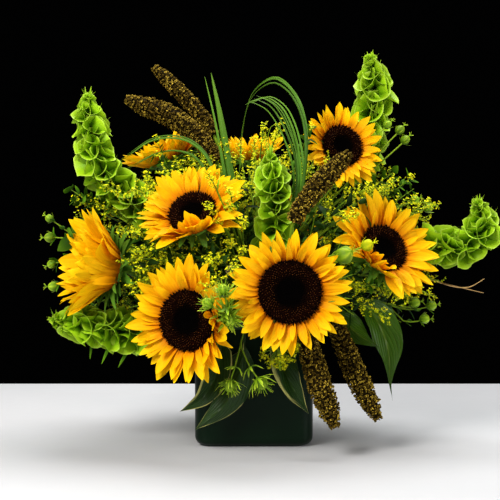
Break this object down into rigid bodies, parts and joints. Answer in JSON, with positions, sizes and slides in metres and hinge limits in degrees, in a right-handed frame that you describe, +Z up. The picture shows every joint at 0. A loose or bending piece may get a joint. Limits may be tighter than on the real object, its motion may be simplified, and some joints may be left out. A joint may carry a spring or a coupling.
{
  "type": "sunflower arrangement in a square vase",
  "caption": "Sunflowers with bells of Ireland, millet heads, grass loops and goldenrod, set in floral foam in a dark green square vase.",
  "frame": {"origin": "centre of the vase's flat underside, where it stands", "axes": "+Z up, -Y towards the front, where the largest flowers face"},
  "size_m": [0.5031, 0.3384, 0.4282],
  "materials": {
    "vase": "glossy opaque dark bottle green",
    "foam": "matte, fine open cells",
    "petal": "satin, ridged, golden yellow with orange at the foot",
    "disc": "matte, tightly packed florets, near black",
    "stem": "matte, finely hairy",
    "bell": "satin, veined, lime green",
    "seed_head": "rough, seeded, dark brown with golden tips",
    "grass": "satin, ribbed",
    "leaf": "satin, veined, dark green",
    "goldenrod": "matte, yellow-green florets",
    "pod": "matte, pale green",
    "twig": "dry bark"
  },
  "bodies": {
    "root": {"sunflower_1_stem": "stem", "sunflower_1_petals": "petal", "sunflower_1_disc": "disc", "sunflower_2_stem": "stem", "sunflower_2_petals": "petal", "sunflower_2_disc": "disc", "sunflower_3_stem": "stem", "sunflower_3_petals": "petal", "sunflower_3_disc": "disc", "sunflower_4_stem": "stem", "sunflower_4_petals": "petal", "sunflower_4_disc": "disc", "sunflower_5_stem": "stem", "sunflower_5_petals": "petal", "sunflower_5_disc": "disc", "sunflower_6_stem": "stem", "sunflower_6_petals": "petal", "sunflower_6_disc": "disc", "sunflower_7_stem": "stem", "sunflower_7_petals": "petal", "sunflower_7_disc": "disc", "sunflower_8_stem": "stem", "sunflower_8_petals": "petal", "sunflower_8_disc": "disc", "sunflower_9_stem": "stem", "sunflower_9_petals": "petal", "sunflower_9_disc": "disc", "bells_of_ireland_1": "bell", "bells_of_ireland_2": "bell", "bells_of_ireland_3": "bell", "bells_of_ireland_4": "bell", "bells_of_ireland_5": "bell", "millet_1": "seed_head", "millet_2": "seed_head", "millet_3": "seed_head", "millet_4": "seed_head", "millet_5": "seed_head", "goldenrod_1": "goldenrod", "goldenrod_2": "goldenrod", "goldenrod_3": "goldenrod", "goldenrod_4": "goldenrod", "grass_blade": "grass", "grass_loop_1": "grass", "grass_loop_2": "grass", "grass_loop_3": "grass", "grass_arc_1": "grass", "grass_arc_2": "grass", "leaf_right_large": "leaf", "leaf_right_small": "leaf", "leaf_rim_left": "leaf", "leaf_rim_front_left": "leaf", "leaf_rim_front_right": "leaf", "nigella_left": "pod", "nigella_right": "pod", "thistle_low": "pod", "thistle_high": "pod", "fennel_umbel": "goldenrod", "willow_twig": "twig", "vase": "vase", "floral_foam": "foam"}
  },
  "joints": []
}
